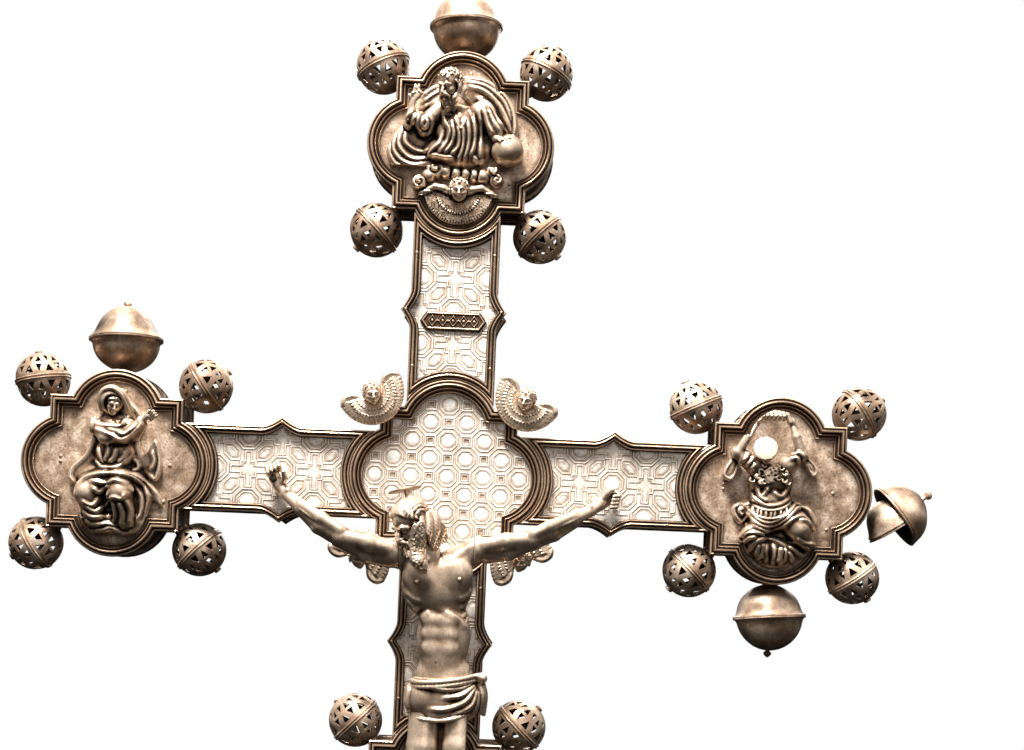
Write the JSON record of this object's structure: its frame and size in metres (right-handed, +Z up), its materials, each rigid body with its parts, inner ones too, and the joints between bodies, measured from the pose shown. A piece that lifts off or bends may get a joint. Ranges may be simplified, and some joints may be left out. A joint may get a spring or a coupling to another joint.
{
  "type": "processional cross",
  "caption": "Moulded quatrefoil-ended cross with a corpus, corner cherubs, reliefs, a knop and staff socket, and hollow balls that turn on pins round its ends.",
  "frame": {"origin": "centre of the staff socket's blind end, where the top of the staff bears", "axes": "+Z up the cross, front towards -Y, +X to the viewer's right"},
  "size_m": [0.5622, 0.0928, 0.7591],
  "materials": {
    "frame_bronze": "dark patinated cast bronze with worn bright ridges",
    "field_bronze": "mottled worn gilding over bronze",
    "figure_bronze": "polished cast bronze, dark in its folds",
    "silvered_sheet": "pale silvered sheet, struck with a pattern",
    "ball_copper": "raised copper, worn bright on top",
    "dark_iron": "dark forged iron",
    "core_wood": "bare dark wood"
  },
  "bodies": {
    "cross": {"wooden_core": "core_wood", "edge_band": "frame_bronze", "crossing_frame": "frame_bronze", "crossing_plate": "silvered_sheet", "right_medallion": "field_bronze", "right_arm_border": "frame_bronze", "right_arm_plate": "silvered_sheet", "top_medallion": "field_bronze", "upper_arm_border": "frame_bronze", "upper_arm_plate": "silvered_sheet", "left_medallion": "field_bronze", "left_arm_border": "frame_bronze", "left_arm_plate": "silvered_sheet", "lower_medallion": "field_bronze", "lower_arm_border": "frame_bronze", "lower_arm_plate": "silvered_sheet", "father_relief": "figure_bronze", "cloud_relief": "figure_bronze", "virgin_relief": "figure_bronze", "saint_john_relief": "figure_bronze", "title_plaque": "frame_bronze", "back_plate": "silvered_sheet", "back_border": "frame_bronze", "neck_ferrule": "frame_bronze", "knop": "ball_copper", "staff_socket": "frame_bronze", "broken_ball_outer_shell": "ball_copper", "broken_ball_inner_shell": "ball_copper", "broken_ball_pin": "dark_iron", "corpus_body": "figure_bronze", "corpus_left_arm": "figure_bronze", "corpus_right_arm": "figure_bronze", "loincloth": "figure_bronze", "corpus_halo": "figure_bronze", "left_hand_nail": "dark_iron", "right_hand_nail": "dark_iron", "feet_nail": "dark_iron", "upper_left_cherub": "figure_bronze", "upper_right_cherub": "figure_bronze", "lower_left_cherub": "figure_bronze", "lower_right_cherub": "figure_bronze"},
    "right_upper_right_ball": {"right_upper_right_ball": "ball_copper"},
    "right_upper_left_ball": {"right_upper_left_ball": "ball_copper"},
    "right_lower_left_ball": {"right_lower_left_ball": "ball_copper"},
    "right_lower_right_ball": {"right_lower_right_ball": "ball_copper"},
    "top_upper_right_ball": {"top_upper_right_ball": "ball_copper"},
    "top_upper_left_ball": {"top_upper_left_ball": "ball_copper"},
    "top_lower_left_ball": {"top_lower_left_ball": "ball_copper"},
    "top_lower_right_ball": {"top_lower_right_ball": "ball_copper"},
    "left_upper_right_ball": {"left_upper_right_ball": "ball_copper"},
    "left_upper_left_ball": {"left_upper_left_ball": "ball_copper"},
    "left_lower_left_ball": {"left_lower_left_ball": "ball_copper"},
    "left_lower_right_ball": {"left_lower_right_ball": "ball_copper"},
    "lower_upper_right_ball": {"lower_upper_right_ball": "ball_copper"},
    "lower_upper_left_ball": {"lower_upper_left_ball": "ball_copper"},
    "lower_lower_left_ball": {"lower_lower_left_ball": "ball_copper"},
    "lower_lower_right_ball": {"lower_lower_right_ball": "ball_copper"},
    "top_large_ball": {"top_large_ball": "ball_copper"},
    "left_large_ball": {"left_large_ball": "ball_copper"},
    "right_large_ball": {"right_large_ball": "ball_copper"}
  },
  "joints": [
    {"name": "right_upper_right_ball_spin", "type": "hinge", "parent": "cross", "child": "right_upper_right_ball", "pos_m": [0.25, 0, 0.4015], "axis": [0.7071, 0, 0.7071], "continuous": true},
    {"name": "right_upper_left_ball_spin", "type": "hinge", "parent": "cross", "child": "right_upper_left_ball", "pos_m": [0.15, 0, 0.4015], "axis": [-0.7071, 0, 0.7071], "continuous": true},
    {"name": "right_lower_left_ball_spin", "type": "hinge", "parent": "cross", "child": "right_lower_left_ball", "pos_m": [0.15, 0, 0.3015], "axis": [-0.7071, 0, -0.7071], "continuous": true},
    {"name": "right_lower_right_ball_spin", "type": "hinge", "parent": "cross", "child": "right_lower_right_ball", "pos_m": [0.25, 0, 0.3015], "axis": [0.7071, 0, -0.7071], "continuous": true},
    {"name": "top_upper_right_ball_spin", "type": "hinge", "parent": "cross", "child": "top_upper_right_ball", "pos_m": [0.05, 0, 0.6015], "axis": [0.7071, 0, 0.7071], "continuous": true},
    {"name": "top_upper_left_ball_spin", "type": "hinge", "parent": "cross", "child": "top_upper_left_ball", "pos_m": [-0.05, 0, 0.6015], "axis": [-0.7071, 0, 0.7071], "continuous": true},
    {"name": "top_lower_left_ball_spin", "type": "hinge", "parent": "cross", "child": "top_lower_left_ball", "pos_m": [-0.05, 0, 0.5015], "axis": [-0.7071, 0, -0.7071], "continuous": true},
    {"name": "top_lower_right_ball_spin", "type": "hinge", "parent": "cross", "child": "top_lower_right_ball", "pos_m": [0.05, 0, 0.5015], "axis": [0.7071, 0, -0.7071], "continuous": true},
    {"name": "left_upper_right_ball_spin", "type": "hinge", "parent": "cross", "child": "left_upper_right_ball", "pos_m": [-0.15, 0, 0.4015], "axis": [0.7071, 0, 0.7071], "continuous": true},
    {"name": "left_upper_left_ball_spin", "type": "hinge", "parent": "cross", "child": "left_upper_left_ball", "pos_m": [-0.25, 0, 0.4015], "axis": [-0.7071, 0, 0.7071], "continuous": true},
    {"name": "left_lower_left_ball_spin", "type": "hinge", "parent": "cross", "child": "left_lower_left_ball", "pos_m": [-0.25, 0, 0.3015], "axis": [-0.7071, 0, -0.7071], "continuous": true},
    {"name": "left_lower_right_ball_spin", "type": "hinge", "parent": "cross", "child": "left_lower_right_ball", "pos_m": [-0.15, 0, 0.3015], "axis": [0.7071, 0, -0.7071], "continuous": true},
    {"name": "lower_upper_right_ball_spin", "type": "hinge", "parent": "cross", "child": "lower_upper_right_ball", "pos_m": [0.05, 0, 0.2015], "axis": [0.7071, 0, 0.7071], "continuous": true},
    {"name": "lower_upper_left_ball_spin", "type": "hinge", "parent": "cross", "child": "lower_upper_left_ball", "pos_m": [-0.05, 0, 0.2015], "axis": [-0.7071, 0, 0.7071], "continuous": true},
    {"name": "lower_lower_left_ball_spin", "type": "hinge", "parent": "cross", "child": "lower_lower_left_ball", "pos_m": [-0.05, 0, 0.1015], "axis": [-0.7071, 0, -0.7071], "continuous": true},
    {"name": "lower_lower_right_ball_spin", "type": "hinge", "parent": "cross", "child": "lower_lower_right_ball", "pos_m": [0.05, 0, 0.1015], "axis": [0.7071, 0, -0.7071], "continuous": true},
    {"name": "top_large_ball_spin", "type": "hinge", "parent": "cross", "child": "top_large_ball", "pos_m": [0, 0, 0.628], "axis": [0, 0, 1], "continuous": true},
    {"name": "left_large_ball_spin", "type": "hinge", "parent": "cross", "child": "left_large_ball", "pos_m": [-0.2, 0, 0.428], "axis": [0, 0, 1], "continuous": true},
    {"name": "right_large_ball_spin", "type": "hinge", "parent": "cross", "child": "right_large_ball", "pos_m": [0.2, 0, 0.275], "axis": [0, 0, -1], "continuous": true}
  ]
}
